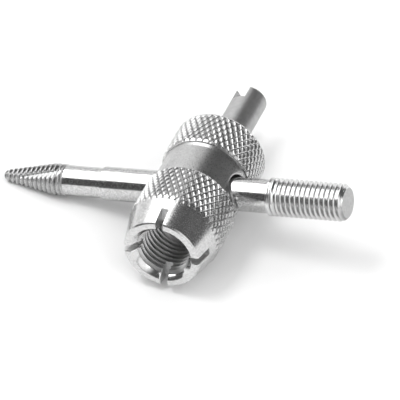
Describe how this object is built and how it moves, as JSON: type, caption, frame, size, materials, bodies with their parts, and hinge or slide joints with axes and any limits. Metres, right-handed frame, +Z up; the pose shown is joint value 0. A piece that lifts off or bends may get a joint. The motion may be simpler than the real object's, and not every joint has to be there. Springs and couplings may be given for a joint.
{
  "type": "tyre valve tool",
  "caption": "Four-way tyre valve tool: knurled barrel with slotted thread die and forked core remover, crossed by a bar with thread tap and left-hand extractor.",
  "frame": {"origin": "on the table under the middle of the tool's outline, with the tool lying at rest", "axes": "+Z up from the table, -Y out of the die nose along the barrel, +X towards the tap along the cross bar, which leans about 12 degrees because the extractor rests on the table"},
  "size_m": [0.0498, 0.0344, 0.0134],
  "materials": {
    "barrel_plate": "bright nickel plate on knurled and turned steel",
    "remover_plate": "bright nickel plate on turned steel",
    "bar_plate": "bright nickel plate on ground steel"
  },
  "bodies": {
    "root": {"barrel": "barrel_plate", "core_remover": "remover_plate", "cross_bar": "bar_plate"}
  },
  "joints": []
}
